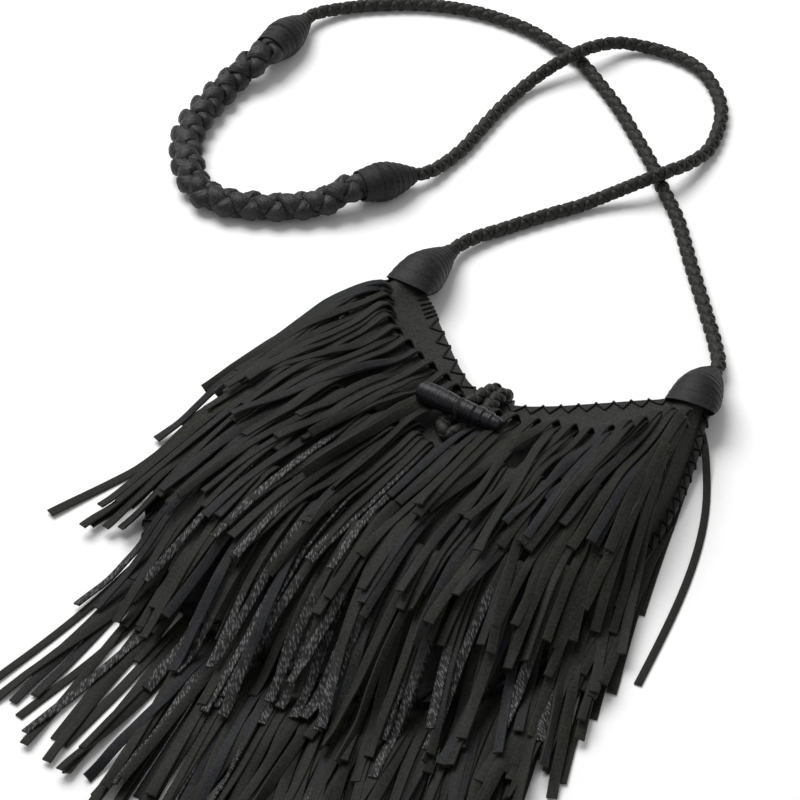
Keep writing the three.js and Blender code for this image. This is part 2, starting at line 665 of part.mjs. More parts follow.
function toggleBar() {
  const length = TOGGLE.right - TOGGLE.left;
  const outline = TOGGLE_PROFILE.map(([place, radius]) => new THREE.Vector2(radius, place * length));
  const profile = [new THREE.Vector2(0, 0), ...outline, new THREE.Vector2(0, length)];
  const mesh = piece('toggle_bar', new THREE.LatheGeometry(profile, TOGGLE_SIDES), WRAP_BLACK, SMOOTH);
  mesh.position.set(TOGGLE.left, TOGGLE.y, TOGGLE.z);
  mesh.rotation.z = -Math.PI / 2;
  return mesh;
}

// Thong: a ring round the middle of the bar with a stem down to the panel
function toggleThong() {
  const middle = (TOGGLE.left + TOGGLE.right) / 2;
  const hole = Math.max(...TOGGLE_PROFILE.map(([, radius]) => radius)) + GAP;
  const outside = hole + THONG.wall;
  const ringProfile = [[hole, 0], [outside, 0], [outside, THONG.width], [hole, THONG.width], [hole, 0]];
  const ring = new THREE.LatheGeometry(ringProfile.map(([r, h]) => new THREE.Vector2(r, h)), THONG.sides);
  ring.rotateZ(-Math.PI / 2).translate(middle - THONG.width / 2, TOGGLE.y, TOGGLE.z);
  const foot = drapeAt(middle, TOGGLE.y) + LOCK_LIFT;
  const top = TOGGLE.z - hole - THONG.wall / 2;
  const stem = new THREE.CylinderGeometry(THONG.stem, THONG.stem, top - foot, THONG.sides);
  stem.rotateX(Math.PI / 2).translate(middle, TOGGLE.y, (top + foot) / 2);
  return piece('toggle_thong', joined([welded(ring), welded(stem)]), LEATHER_BLACK, GRAIN);
}

function toggleLoop() {
  const middle = (TOGGLE.left + TOGGLE.right) / 2;
  const leg = (side) => LOOP_LEG.map(([x, y, z]) => new THREE.Vector3(middle + side * x, y, z));
  const [, , endZ] = LOOP_LEG.at(-1);
  const points = [...leg(-1), new THREE.Vector3(middle, LOOP_END_Y, endZ), ...leg(1).reverse()];
  const section = oval(LOOP_DIAMETER, LOOP_DIAMETER, LOOP_SIDES);
  return piece('toggle_loop', tube(points, section, LOOP_STEPS), BRAID_BLACK, SMOOTH);
}

// The whole bag
const group = new THREE.Group();
group.add(piece('bag_front', frontPanel(), LEATHER_BLACK, GRAIN));
group.add(piece('bag_back', backPanel(), LEATHER_BLACK, GRAIN));
FRINGE_ROWS.forEach((row, k) => group.add(piece(row.name, fringeRow(row, k + 1), SUEDE_BLACK, FLESH)));
group.add(piece(SEAM_ROW.name, seamFringe(), SUEDE_BLACK, FLESH));
group.add(toggleBar(), toggleThong(), toggleLoop());
Object.keys(CONES).forEach((name) => group.add(cone(name)));
group.add(...strap());

export default group;
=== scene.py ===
"""Looks of the fringe crossbody bag: leather panels, cut strips, braids, wraps and lacing.

Sizes are in millimetres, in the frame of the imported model. Meshes are made in metres.
"""

import math
import random

import bpy
import numpy as np
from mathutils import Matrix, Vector


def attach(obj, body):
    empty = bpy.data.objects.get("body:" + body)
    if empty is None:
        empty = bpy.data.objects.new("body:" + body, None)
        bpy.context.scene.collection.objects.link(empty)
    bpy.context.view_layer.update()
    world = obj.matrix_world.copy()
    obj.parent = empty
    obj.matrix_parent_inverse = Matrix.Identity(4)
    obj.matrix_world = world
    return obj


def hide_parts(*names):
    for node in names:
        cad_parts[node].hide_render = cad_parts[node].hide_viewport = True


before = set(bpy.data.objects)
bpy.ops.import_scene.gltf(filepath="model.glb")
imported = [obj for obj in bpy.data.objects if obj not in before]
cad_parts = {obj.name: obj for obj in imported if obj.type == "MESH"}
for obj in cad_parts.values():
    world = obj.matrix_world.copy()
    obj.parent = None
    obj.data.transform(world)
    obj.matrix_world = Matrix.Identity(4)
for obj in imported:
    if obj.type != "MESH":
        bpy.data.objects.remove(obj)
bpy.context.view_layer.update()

MM = 0.001
CURVE_POINTS = 24  # between two points of a smooth curve

# Pouch: half sections from the middle to the right horn, each from the mouth edge to the side seam
LEATHER = 1.8
GAP = 0.3
SECTION_COLUMNS = (
    "mouth_x", "mouth_y", "seam_x", "seam_y",
    "front_mouth", "flange_top", "crown", "flange",
    "back_mouth", "back_seam", "belly",
)
SECTION_ROWS = (
    (0, 95, 0, -104, 17, 6.5, 25, 8, 0, 0, 0),
    (14, 98, 52, -99, 17, 6.5, 25, 8, 0, 0, 0),
    (28, 107.5, 92, -74, 16.5, 6.5, 24, 8, 0, 0, 0),
    (41, 118.5, 113, -30, 16, 6.5, 21, 8, 0, 0, 0),
    (53, 129, 117, 26, 15.5, 6.5, 17, 8, 0.4, 0, 0),
    (63, 138, 113, 80, 15, 6.8, 12, 7, 1.6, 0.8, 0),
    (70, 143, 104, 120, 15.4, 9, 9, 5, 4.8, 3.4, 1),
    (75.2, 148, 95.8, 145, 16.8, 13.8, 6.5, 3, 10.4, 8.6, 2.6),
    (77, 158, 93.4, 158, 16, 15, 3.5, 2, 11.2, 11.2, 2),
)
SECTIONS = {name: [row[k] for row in SECTION_ROWS] for k, name in enumerate(SECTION_COLUMNS)}
CROWN_SKEW = 1.3
EDGE_LIFT_WIDTH = 10
PANEL_STEPS = dict(along=160, front=58, flange=6, back=36)
PANEL_SHARP = 60

# Fringe rows on the front, from the mouth down: the line of their slits, how high the strips arch at their heads, then
# lean at the start and turn on the way down in degrees, by place across the bag. No strip is nearer to the middle than
# `bare`
FRINGE_ROWS = (
    dict(
        name="fringe_top", pitch=9.6, length=108, stagger=1.5, bare=13, grain=0.02,
        line=(
            (-88, 141), (-82, 127), (-69, 112), (-52, 102), (-40, 97), (-12, 90), (12, 84), (32, 89), (52, 94),
            (67, 99), (78, 108), (81, 132), (84, 146),
        ),
        arches=((-88, 0.4), (-80, 2), (-72, 3.4), (74, 3.4), (82, 0.4)),
        leans=((-88, -52), (-85, -36), (-80, -15), (-40, -9), (-29, -5), (-12, 0), (32, 3), (67, 3), (89, 5)),
        turns=((-88, 38), (-85, 18), (-80, -4), (-29, -12), (-5, 0), (20, 4), (50, 0), (89, -3)),
    ),
    dict(
        name="fringe_top", pitch=7, length=104, stagger=1.5, grain=0,
        arches=((-99, 0.8), (-88, 0)),
        line=((-99, 98), (-95, 116), (-91, 132), (-88, 142)),
        leans=((-99, -7), (-95, -12), (-88, -28)),
        turns=((-99, -3), (-95, 3), (-88, 22)),
    ),
    dict(
        name="fringe_top", pitch=11.5, length=106, stagger=1.5, grain=0,
        arches=((87, 0), (89, 1.4), (98, 1.6)),
        line=((86, 147), (89, 137), (93, 115), (99, 90)),
        leans=((86, 5), (92, 11), (98, 14)),
        turns=((86, 0), (98, 3)),
    ),
    dict(
        name="fringe_middle", pitch=6.6, length=112, stagger=7, grain=0.04,
        arches=((0, 1.3),),
        line=((-106, 34), (-80, 44), (-30, 45), (0, 44), (30, 45), (55, 49), (80, 58), (104, 74)),
        leans=((-106, -15), (-80, -12), (-40, -9), (0, -1), (50, 5), (80, 8), (104, 11)),
        turns=((-106, 0), (-40, -4), (0, 4), (50, 2), (104, 5)),
    ),
    dict(
        name="fringe_lower", pitch=6.2, length=112, stagger=7, grain=0.5,
        arches=((0, 1.3),),
        line=((-84, -2), (-70, -10), (-40, -23), (0, -32), (40, -23), (70, -10), (104, 9)),
        leans=((-84, -3), (-53, -2), (0, 5), (40, 9), (104, 14)),
        turns=((-84, 1), (0, 5), (104, 3)),
    ),
)
# Rows in the seam have their places along the seam instead
SEAM_LEANS = ((-0.25, -3), (-0.18, 1), (-0.1, 5), (0, 11), (0.1, 15), (0.28, 18), (0.36, 15), (0.45, 13), (0.62, 13))
SEAM_TURNS = ((-0.25, -9), (-0.18, -2), (0, 2), (0.62, 0))
SEAM_ROWS = (
    dict(first=-0.25, last=-0.1, pitch=9.5, length=108),
    dict(first=-0.1, last=0.38, pitch=5, length=114),
    dict(first=0.38, last=0.62, pitch=6.8, length=110),
)
SEAM_FILL = dict(first=-0.07, last=0.3, pitch=8, length=112)
SEAM_INSET = 3
SEAM_LEAST = 0.4  # height at which strips leave the seam at least
# Long lace end beside the fringe, and a strip that hangs alone off the side
LOOSE = (
    dict(s=0.84, inset=2, lean=41, turn=-31, ease=2.2, length=170, width=3.8),
    dict(s=0.72, inset=3, lean=15, turn=3, ease=1, length=96, width=3.8),
)
STRIP_WIDTH = 4.6
WIDTH_SPREAD = 0.7
STRIP_THICKNESS = 1.15
STRIP_BEVEL = 0.22
STRIP_CAMBER = 0.16
CAMBER_SHARE = 0.45  # of the half width that is bowed most
STRIP_SHARP = 32  # a strip's edges are seen as cut above this angle
STRIP_STEP = 2.0
STRIP_BEND = 0.018  # most that a strip bends down, per millimetre
SMOOTHING = dict(height=7, slope=9, roll=17, line=21)  # points in each moving average
REST_SHARE = 0.7  # how much a strip rests on the highest point under it, and not on their mean
FLOOR_CLEARANCE = 0.1
RING_STEP = 3.0
HEAD_STEP = 0.8
HEAD_LENGTH = 9
HEAD_SINK = 1.3  # a strip starts this far inside the panel
HEAD_CREST = 5  # and is on top of its arch here
HEAD_FADE = 26  # which ends here
SEAM_FALL = (3, 34)  # strips in the seam come down to the floor between these places
PRESS = 30  # softness of the pile: the larger, the less strips sink into it
ROLL_LIMIT = 0.32
LINE_POINTS = 400  # on the line along which a row's slits are spaced
PILE = dict(x=-190, y=-250, columns=381, rows=421)
PILE_FILL = 6  # points laid on the pile for each one of the panel's grid
DRAPE_SLOPE = 1.1
DRAPE_ROUNDS = 40

# Disorder of the strips. Those with `from` start at that share of the length
SEED = 7
LENGTH_SPREAD = 16
LEAN_SPREAD = 1.1
STRAY = dict(share=0.1, lean=6)
DRIFT = dict(lean=1.6, rate=0.9)  # lean that changes slowly along a row
PAIR = dict(split=3, across=0.7, down=0.8)  # how the two strips of a slit differ
START_SPREAD = 0.6
BEND_SPREAD = 4.0
WAVER = 1.4
ROW_EASE = 1.5
TWIST = {"share": 0.14, "least": 0.5, "most": 1.2, "from": 0.15}
LIFTS = (0, 0, 0, 0.6, 1.2, 2.5)  # how far the ends stand up
LIFT_FROM = 0.6
TONE_SPREAD = 0.12
LOOSE_TONE = 0.6
MAP_SHIFT = (100, 700)  # moves the leather's map by a strip's tone

# Strips with their grain side up, by place across the bag, and the slanted dashes on that side, whose raised cores
# carry a painted glint
GRAIN_SHARE = ((-80, 0.4), (-40, 1.1), (-20, 1.3), (30, 1.2), (60, 0.5))
SEAM_GRAIN = 0.12
GRAIN_FROM = 0.7  # the grain side comes up before this share of the length
GRAIN_FADE = 0.2
DASH = dict(width=0.76, length=3.2, slant=32, disorder=0.65, core=0.22, rim=0.56, gloss=0.3)

# Leather: spacing of its broad and fine mottling, depth of its relief, and colours of the cut strips
MOTTLE = dict(broad=40, fine=1.2, strength=0.6)
MOTTLE_TONES = ((0.38, 0.45), (0.62, 1.6))
RELIEF = 0.22
PEBBLE_CREASE = 0.28
FIBRE_STRETCH = 0.08
STRIP_HUES = (
    (0.0, (0.78, 0.79, 0.66)), (0.45, (1.0, 1.02, 0.86)), (0.65, (0.93, 0.95, 0.95)), (1.0, (0.92, 0.96, 1.2)),
)
# Each leather: two tones, roughness, size of its pebbles, depth of creases, depth and spacing of fibres, and gloss
LEATHERS = {
    "panel_leather": (((0.016, 0.016, 0.014), (0.021, 0.021, 0.020)), (0.6, 0.72), 0.9, 0.15, None, 0.2),
    "strip_leather": (((0.010, 0.010, 0.0092), (0.017, 0.017, 0.016)), (0.58, 0.72), None, 0.6, (0.05, 0.8), 0.15),
    "braid_leather": (((0.010, 0.0105, 0.009), (0.0185, 0.019, 0.0165)), (0.46, 0.62), 0.8, 0.25, (0.3, 1.1), 0.25),
    "plait_leather": (((0.008, 0.0088, 0.008), (0.0245, 0.026, 0.025)), (0.36, 0.54), 1.2, 0.5, (0.9, 2.2), 0.25),
    "wrap_leather": (((0.009, 0.009, 0.009), (0.015, 0.0155, 0.017)), (0.5, 0.62), 0.8, 0.12, (0.2, 1.2), 0.2),
    "toggle_leather": (((0.004, 0.004, 0.0045), (0.007, 0.0074, 0.010)), (0.28, 0.4), 0.8, 0.1, (0.6, 1.05), 0.3),
    "lacing_leather": (((0.003, 0.003, 0.003), (0.006, 0.006, 0.006)), (0.5, 0.65), 0.6, 0.2, None, 0.2),
}
EDGE_TONE = (0.030, 0.030, 0.027)
# Grain side of the cut strips: the dark ground between the dashes, then the painted glint, a painted highlight, on
# their raised cores
GRAIN_GROUND_AND_PAINTED_GLINT = ((0.013, 0.013, 0.0132), (0.112, 0.112, 0.113))

# Wound cones: share of the length and radius
DOME_PROFILE = (
    (0, 12.6), (0.08, 13), (0.2, 13.2), (0.35, 12.4), (0.55, 10.3), (0.75, 7.6), (0.9, 5.2), (0.93, 4.7), (1, 4.4),
)
CONE_PROFILE = ((0, 13.2), (0.12, 13.6), (0.3, 13), (0.5, 11.4), (0.7, 9.1), (0.86, 6.8), (0.95, 5.2), (1, 4.6))
FERRULE_PROFILE = ((0, 9.4), (0.1, 9.9), (0.35, 11), (0.55, 10.2), (0.75, 8), (0.9, 5.8), (1, 4.3))
CONES = {
    "horn_wrap_left": ((-82.8, 145.2, 16.2), (-84, 187, 8), DOME_PROFILE),
    "horn_wrap_right": ((85.3, 146.5, 16.6), (79.3, 180, 9), CONE_PROFILE),
    "ferrule_lower": ((-151.3, 201.5, 12.4), (-135.2, 230.4, 8), FERRULE_PROFILE),
    "ferrule_upper": ((-261, 273, 12.8), (-263, 311, 8.2), FERRULE_PROFILE),
}
CONE_LOOKS = {
    "horn": dict(turns=11, depth=0.34, grooves=((0.915, 0.35),), lip=0.8, apron=7, flat=0.42, ease=5),
    "ferrule": dict(turns=9, depth=0.42, grooves=((0.3, 0.6), (0.37, 0.5), (0.62, 0.25)), lip=0.8, flat=0.85),
}
# How wound leather is shaped: its points round and along, width of a groove, the dip beside each turn in depths and
# turns, the depth of an open base, and the shares of the length over which the turns rise and the base's forms end
WOUND = dict(
    sides=64, rings=140, groove=0.5, lap=0.8, lap_width=0.06, mouth=2, plain=0.1, apron=0.55, apron_side=0.25, flat=0.4,
    map_radius=10,
)

# Strap: routes of the free braids from cone to cone. Points with no height rest on the surface
LEAD = 9  # how far a braid goes straight on out of its cone
INSIDE = 6  # how far a braid's end goes into its cone
CORD = dict(width=8.3, height=7.9, pitch=15.6, lace=5.2, lace_thickness=2, step=0.9, disorder=0.1, rest=3.7, lift=0.45)
BRAID = dict(width=20, height=12.6, pitch=27, lace=9.6, lace_thickness=5.3, step=1.3, disorder=0.9, rest=6.7, lift=0.9)
LACE_SHARP = 80
LACE_SHIFT = 30  # moves the leather's map from lace to lace
LEFT_ROUTE = (
    (-81, 207, 5), (-73, 223), (-60, 245), (-48, 263, 4), (-38, 277, 7), (-27, 291, 11), (-20, 304, 11.6),
    (-16, 320, 8), (-15, 340, 4.4), (-19, 358), (-27, 376), (-39, 390), (-53, 400), (-66, 404), (-80, 404),
    (-92, 401, 4.4), (-103, 393, 7.4), (-110, 379, 11.2), (-116, 366, 11.6), (-124, 348, 8), (-129, 329, 4.4),
    (-130, 309), (-129, 287), (-128, 270), (-129, 254, 4),
)
RIGHT_ROUTE = (
    (68.3, 202.5, 4.8), (48, 226.5), (21, 257), (1, 280), (-22, 301), (-37, 315), (-58, 332), (-76, 346),
    (-96, 359), (-115, 370), (-135, 375), (-154, 379), (-175, 379), (-193, 376), (-210, 370), (-225, 362),
    (-239, 352), (-252, 340, 4),
)
BRAID_ROUTE = (
    (-162.3, 184, 8.4), (-171.5, 175, 7), (-182.5, 166.6), (-194, 160.2), (-206, 155.6), (-218, 155), (-232, 160),
    (-243.8, 170.6), (-252.8, 182.6), (-260, 196.7), (-263.2, 212.5), (-265.4, 226.7), (-265.8, 245.2, 7.2),
)

# Toggle closure
TOGGLE = dict(left=-22.5, right=25.5, y=62.5, z=37)
LOOP = dict(width=8.6, height=8, pitch=15, lace=5.4, lace_thickness=2.2, step=0.9, disorder=0.2)
LOOP_LEG = (
    (3, 84, 5.4), (3, 96, 7), (3, 102.5, 12), (3, 100, 18), (3.2, 92, 21.8), (4.6, 82, 23.8), (6, 72, 26.2),
    (6, 62.5, 27.6), (5, 56, 29.2),
)
LOOP_END_Y = 50
BAR_MIDDLE = (TOGGLE["left"] + TOGGLE["right"]) / 2
TOGGLE_PROFILE = (
    (0, 2.6), (0.015, 4.4), (0.05, 5.4), (0.14, 5.8), (0.36, 5.5), (0.45, 4.9), (0.5, 4.7), (0.56, 5.0), (0.69, 4.8),
    (0.71, 5.2), (0.79, 5.0), (0.81, 4.6), (0.89, 4.5), (0.91, 4.0), (0.985, 3.4), (1, 2.2),
)
TOGGLE_LOOKS = dict(turns=9, depth=0.12, grooves=((0.69, 0.7), (0.8, 0.6), (0.9, 0.5)), ease=3)
THONG = dict(turns=2, width=2.4, radius=4.7, lace=1.3, thickness=0.9, foot=24, bend=0.6, drop=2, step=0.8, points=80)

# Lacing: pitches, distance of the holes from the edge, and places along the mouth where it ends and where it is wound
# close. thick and lift are in widths of the lace
LACING = dict(
    width=1.35, left=11, right=8.8, hole=6.5, sunk=1.2, reach=0.93, dense=-0.54, wrap=3.2, thick=0.8, lift=0.25,
    points=500, up=(0.3, 0.2, 1),
)
# Laced edges: their place across the front and one inside it, the measure of the section that holes are cut in, sheets
# of leather, and how far the lace stands out in widths, with the share of that at its lower end
MOUTH = dict(name="mouth_lacing", w=0, inner=0.01, cut="span", sheets=1, out=1 / 6, under=0.5)
SEAM = dict(name="seam_lacing", w=2, inner=1.9, cut="flange", sheets=2, out=0.5, under=1)


# Meshes
def place(piece, slot, *nodes):
    """Lets a piece ride on the bag, in place of its CAD nodes."""
    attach(piece, "root")
    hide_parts(*nodes)


class Surface:
    """Collects the points, faces, map and values of one piece that has many parts."""

    def __init__(self):
        self.vertices, self.faces, self.uv, self.values, self.count = [], [], [], {}, 0

    def add(self, vertices, faces, uv, **values):
        self.vertices.append(vertices)
        self.faces.extend([tuple(k + self.count for k in face) for face in faces])
        self.uv.append(uv)
        for key, data in values.items():
            self.values.setdefault(key, []).append(np.broadcast_to(data, len(vertices)))
        self.count += len(vertices)

    def piece(self, name, material, sharp):
        """The piece, smooth apart from edges above an angle in degrees."""
        mesh = bpy.data.meshes.new(name)
        mesh.from_pydata((np.concatenate(self.vertices) * MM).tolist(), [], self.faces)
        loops = np.zeros(len(mesh.loops), np.int32)
        mesh.loops.foreach_get("vertex_index", loops)
        layer = mesh.uv_layers.new(name="leather")
        layer.data.foreach_set("uv", (np.concatenate(self.uv)[loops] * MM).astype(np.float32).ravel())
        for key, data in self.values.items():
            attribute = mesh.attributes.new(key, "FLOAT", "POINT")
            attribute.data.foreach_set("value", np.concatenate(data).astype(np.float32))
        mesh.shade_smooth()
        mesh.set_sharp_from_angle(angle=math.radians(sharp))
        mesh.materials.append(material)
        piece = bpy.data.objects.new(name, mesh)
        bpy.context.scene.collection.objects.link(piece)
        return piece


def grid_faces(rows, columns, wrap=False, flip=False):
    """Quads over a grid of points stored row by row."""
    faces = []
    for i in range(rows - 1):
        for j in range(columns if wrap else columns - 1):
            k = (j + 1) % columns
            quad = (i * columns + j, i * columns + k, (i + 1) * columns + k, (i + 1) * columns + j)
            faces.append(quad[::-1] if flip else quad)
    return faces


def unit(vectors):
    return vectors / np.linalg.norm(vectors, axis=-1, keepdims=True)


def distances(points):
    """Distance along a line of points, at each of them."""
    return np.concatenate([[0], np.cumsum(np.linalg.norm(np.diff(points, axis=0), axis=1))])


def lookup(table, at):
    """Value at a place, on straight lines through a table's pairs of place and value."""
    return np.interp(at, *zip(*table))


def blend(t, low, high, first, last):
    """Value from first to last, by the place of t from low to high."""
    return ((high - t) * first + (t - low) * last) / (high - low)


def smooth_curve(points, step):
    """Even points on a centripetal Catmull-Rom curve through the given ones, and their distances along it."""
    points = np.asarray(points, float)
    padded = np.vstack([2 * points[0] - points[1], points, 2 * points[-1] - points[-2]])
    fine = []
    for a, b, c, d in zip(padded, padded[1:], padded[2:], padded[3:]):
        gaps = [max(np.linalg.norm(q - p), 1e-6) ** 0.5 for p, q in ((a, b), (b, c), (c, d))]
        t0, t1, t2, t3 = np.cumsum([0] + gaps)
        t = np.linspace(t1, t2, CURVE_POINTS, endpoint=False)[:, None]
        ab, bc, cd = blend(t, t0, t1, a, b), blend(t, t1, t2, b, c), blend(t, t2, t3, c, d)
        fine.append(blend(t, t1, t2, blend(t, t0, t2, ab, bc), blend(t, t1, t3, bc, cd)))
    fine = np.vstack(fine + [points[-1:]])
    along = distances(fine)
    places = np.linspace(0, along[-1], max(2, round(along[-1] / step)) + 1)
    return np.column_stack([np.interp(places, along, values) for values in fine.T]), places


def cross_frames(centres, up=(0, 0, 1)):
    """Side and up vectors along a line, with up kept near the given direction."""
    tangents = unit(np.gradient(centres, axis=0))
    side = unit(np.cross(tangents, np.asarray(up, float)))
    return side, np.cross(side, tangents)


def tube(centres, across, above, outline, places):
    """Tube through cross sections: outline points are (across, above) in millimetres; ends are closed."""
    outline = np.asarray(outline, float)
    sides = len(outline)
    rings = centres[:, None] + across[:, None] * outline[:, :1] + above[:, None] * outline[:, 1:]
    faces = grid_faces(len(rings), sides, wrap=True)
    first = rings.size // 3
    faces += [tuple(range(first, first + sides))[::-1], tuple(range(first + sides, first + 2 * sides))]
    uv = np.dstack(np.broadcast_arrays(distances(outline), np.asarray(places)[:, None])).reshape(-1, 2)
    return np.vstack([*rings, rings[0], rings[-1]]), faces, np.vstack([uv, outline, outline])


# Materials
class Tree:
    """Node tree of a new material. Inputs of its nodes are numbers, colours or the outputs of other nodes."""

    def __init__(self, name):
        self.material = bpy.data.materials.new(name)
        self.material.use_nodes = True
        self.nodes = self.material.node_tree.nodes

    def feed(self, node, inputs):
        for key, value in inputs.items():
            socket = node.inputs[key]
            if isinstance(value, bpy.types.NodeSocket):
                self.material.node_tree.links.new(value, socket)
            else:
                socket.default_value = (*value, 1) if socket.type == "RGBA" else value

    def shade(self, **inputs):
        """Feeds the material's shader and returns the material."""
        self.feed(self.nodes["Principled BSDF"], {key.replace("_", " "): value for key, value in inputs.items()})
        return self.material

    def add(self, kind, output, inputs, **settings):
        """One output of a new node."""
        node = self.nodes.new("ShaderNode" + kind)
        for key, value in settings.items():
            setattr(node, key, value)
        self.feed(node, inputs)
        return node.outputs[output]

    def attribute(self, name):
        return self.add("Attribute", "Fac", {}, attribute_name=name)

    def noise(self, vector, scale, detail, roughness):
        return self.add(
            "TexNoise", "Fac", {"Vector": vector, "Scale": scale, "Detail": detail, "Roughness": roughness}
        )

    def ramp(self, value, stops):
        """Colour by value: stops are (place, colour), where a number stands for a grey."""
        node = self.nodes.new("ShaderNodeValToRGB")
        elements = node.color_ramp.elements
        for k, (where, colour) in enumerate(stops):
            element = elements[k] if k < 2 else elements.new(where)
            element.position = where
            element.color = (*colour, 1) if isinstance(colour, tuple) else (colour, colour, colour, 1)
        self.feed(node, {"Fac": value})
        return node.outputs["Color"]

    def math(self, operation, first, second):
        return self.add("Math", 0, {0: first, 1: second}, operation=operation)

    def mix(self, share, first, second, mode="MIX"):
        return self.add("Mix", 2, {0: share, 6: first, 7: second}, data_type="RGBA", blend_type=mode)

    def bump(self, height, depth, strength, **below):
        return self.add("Bump", "Normal", {"Height": height, "Distance": depth * MM, "Strength": strength, **below})


def pebbles(tree, vector, scale):
    """Pebbled leather grain: raised cells with creases between them."""
    warp = tree.add("TexNoise", "Color", {"Vector": vector, "Scale": scale * 0.6})
    shifted = tree.add("VectorMath", 0, {0: warp, 1: (0.5 / scale,) * 3, 2: vector}, operation="MULTIPLY_ADD")
    cells = tree.add("TexVoronoi", "Distance", {"Vector": shifted, "Scale": scale}, feature="DISTANCE_TO_EDGE")
    return tree.ramp(cells, ((0, 0), (PEBBLE_CREASE, 1)))


def dashes_and_painted_glints(tree, mapped):
    """Grain side of a cut strip: short raised dashes, all slanted to the strip's length; the pattern is both their
    height and the mask of their painted glints.
    """
    along = tree.add("SeparateXYZ", "Y", {0: mapped})
    placed = tree.add("CombineXYZ", 0, {0: tree.attribute("cross"), 1: along})
    turn, size = (0, 0, math.radians(DASH["slant"])), (DASH["width"] * MM, DASH["length"] * MM, 1)
    slanted = tree.add(
        "Mapping", "Vector", {"Vector": placed, "Rotation": turn, "Scale": size}, vector_type="TEXTURE"
    )
    cells = tree.add("TexVoronoi", "Distance", {"Vector": slanted, "Scale": 1, "Randomness": DASH["disorder"]})
    return tree.ramp(cells, ((DASH["core"], 1), (DASH["rim"], 0)))


def leather(name, tones, rough, pebble, creases, fibre, specular):
    """Black leather. That with no pebbles is for cut strips: it reads the values they carry, and has dashes with a
    painted glint on their cores.
    """
    tree = Tree(name)
    mapped, solid = (tree.add("TexCoord", output, {}) for output in ("UV", "Object"))
    broad = tree.noise(solid, 1 / (MOTTLE["broad"] * MM), 4, 0.6)
    fine = tree.noise(solid, 1 / (MOTTLE["fine"] * MM), 4, 0.7)
    colour = tree.ramp(broad, zip((0.3, 0.7), tones))
    colour = tree.mix(1, colour, tree.ramp(fine, MOTTLE_TONES), "MULTIPLY")
    roughness = tree.add("Mix", 0, {0: broad, 2: rough[0], 3: rough[1]})
    normal = tree.bump(fine, RELIEF, MOTTLE["strength"])
    if pebble is None:
        colour = tree.mix(1, colour, tree.ramp(tree.attribute("tone"), STRIP_HUES), "MULTIPLY")
        colour = tree.mix(tree.attribute("edge"), colour, EDGE_TONE)
        side = tree.attribute("grain")
        # Painted highlight: grain-side dash cores are coloured light as glints over a dark ground; they are also
        # glossier and raised
        grain = tree.math("MULTIPLY", dashes_and_painted_glints(tree, mapped), side)
        colour = tree.mix(side, colour, tree.mix(grain, *GRAIN_GROUND_AND_PAINTED_GLINT))
        roughness = tree.math("SUBTRACT", roughness, tree.math("MULTIPLY", grain, DASH["gloss"]))
    else:
        grain = pebbles(tree, mapped, 1 / (pebble * MM))
    normal = tree.bump(grain, RELIEF, creases, Normal=normal)
    if fibre:
        stretched = tree.add("Mapping", "Vector", {"Vector": mapped, "Scale": (1, FIBRE_STRETCH, 1)})
        lines = tree.noise(stretched, 1 / (fibre[1] * MM), 3, 0.6)
        normal = tree.bump(lines, fibre[0], 1.0, Normal=normal)
    return tree.shade(Base_Color=colour, Roughness=roughness, Normal=normal, Specular_IOR_Level=specular)


PANEL, STRIP, LACE, PLAIT, WRAP, ROLL, CORD_BLACK = (leather(name, *values) for name, values in LEATHERS.items())


# Pouch
def column(name, at):
    """Value of a table column at a place along the rows, on a smooth curve through them."""
    values = SECTIONS[name]
    last = len(values) - 1
    before_first = (-1 if name.endswith("_x") else 1) * values[1]
    padded = [before_first, *values, 2 * values[last] - values[last - 1]]
    row = min(int(at), last - 1)
    t = at - row
    p0, p1, p2, p3 = padded[row : row + 4]
    leaving, arriving = (p2 - p0) / 2, (p3 - p1) / 2
    return p1 + t * (leaving + t * (3 * (p2 - p1) - 2 * leaving - arriving + t * (2 * (p1 - p2) + leaving + arriving)))


def section(s):
    """The section at s, from -1 at the left horn to 1 at the right horn."""
    values = {name: column(name, abs(s) * (len(SECTION_ROWS) - 1)) for name in SECTION_COLUMNS}
    side = -1 if s < 0 else 1
    for end in ("mouth", "seam"):
        values[end] = np.array([side * values[end + "_x"], values[end + "_y"]])
    values["span"] = np.linalg.norm(values["mouth"] - values["seam"])
    values["foot"] = values["seam"] + (values["mouth"] - values["seam"]) * values["flange"] / values["span"]
    return values


def plan_points(part, w):
    inner = part["mouth"] + (part["foot"] - part["mouth"]) * np.minimum(w, 1)[:, None]
    return inner + (part["seam"] - part["foot"]) * np.maximum(w - 1, 0)[:, None]


def front_line(s, w):
    """Outer points of the front panel on the section at s: w is 0 at the mouth, 1 at the flange, 2 at its edge."""
    part = section(s)
    w = np.asarray(w, float)
    inside = np.minimum(w, 1)
    swell = np.sin(math.pi * inside**CROWN_SKEW)
    height = part["front_mouth"] + (part["flange_top"] - part["front_mouth"]) * inside + part["crown"] * swell
    return np.column_stack([plan_points(part, w), height])


def smoothstep(value, low, high):
    t = np.clip((value - low) / (high - low), 0, 1)
    return t * t * (3 - 2 * t)


def back_line(s, w):
    """Underside points of the back panel on the section at s."""
    part = section(s)
    w = np.asarray(w, float)
    inside = np.minimum(w, 1)
    plan = plan_points(part, w)
    level = part["back_mouth"] + (part["back_seam"] - part["back_mouth"]) * inside
    level = level - part["belly"] * np.sin(math.pi * inside)
    to_foot = np.linalg.norm(plan - part["foot"], axis=1) * np.where(w > 1, -1, 1)
    lift = 1 - smoothstep(to_foot, 0, EDGE_LIFT_WIDTH)
    under = part["flange_top"] - 2 * LEATHER - GAP
    return np.column_stack([plan, np.maximum(0, level + (under - level) * lift)])


def panel_grid(line, w):
    return np.array([line(s, w) for s in np.linspace(-1, 1, PANEL_STEPS["along"] + 1)])


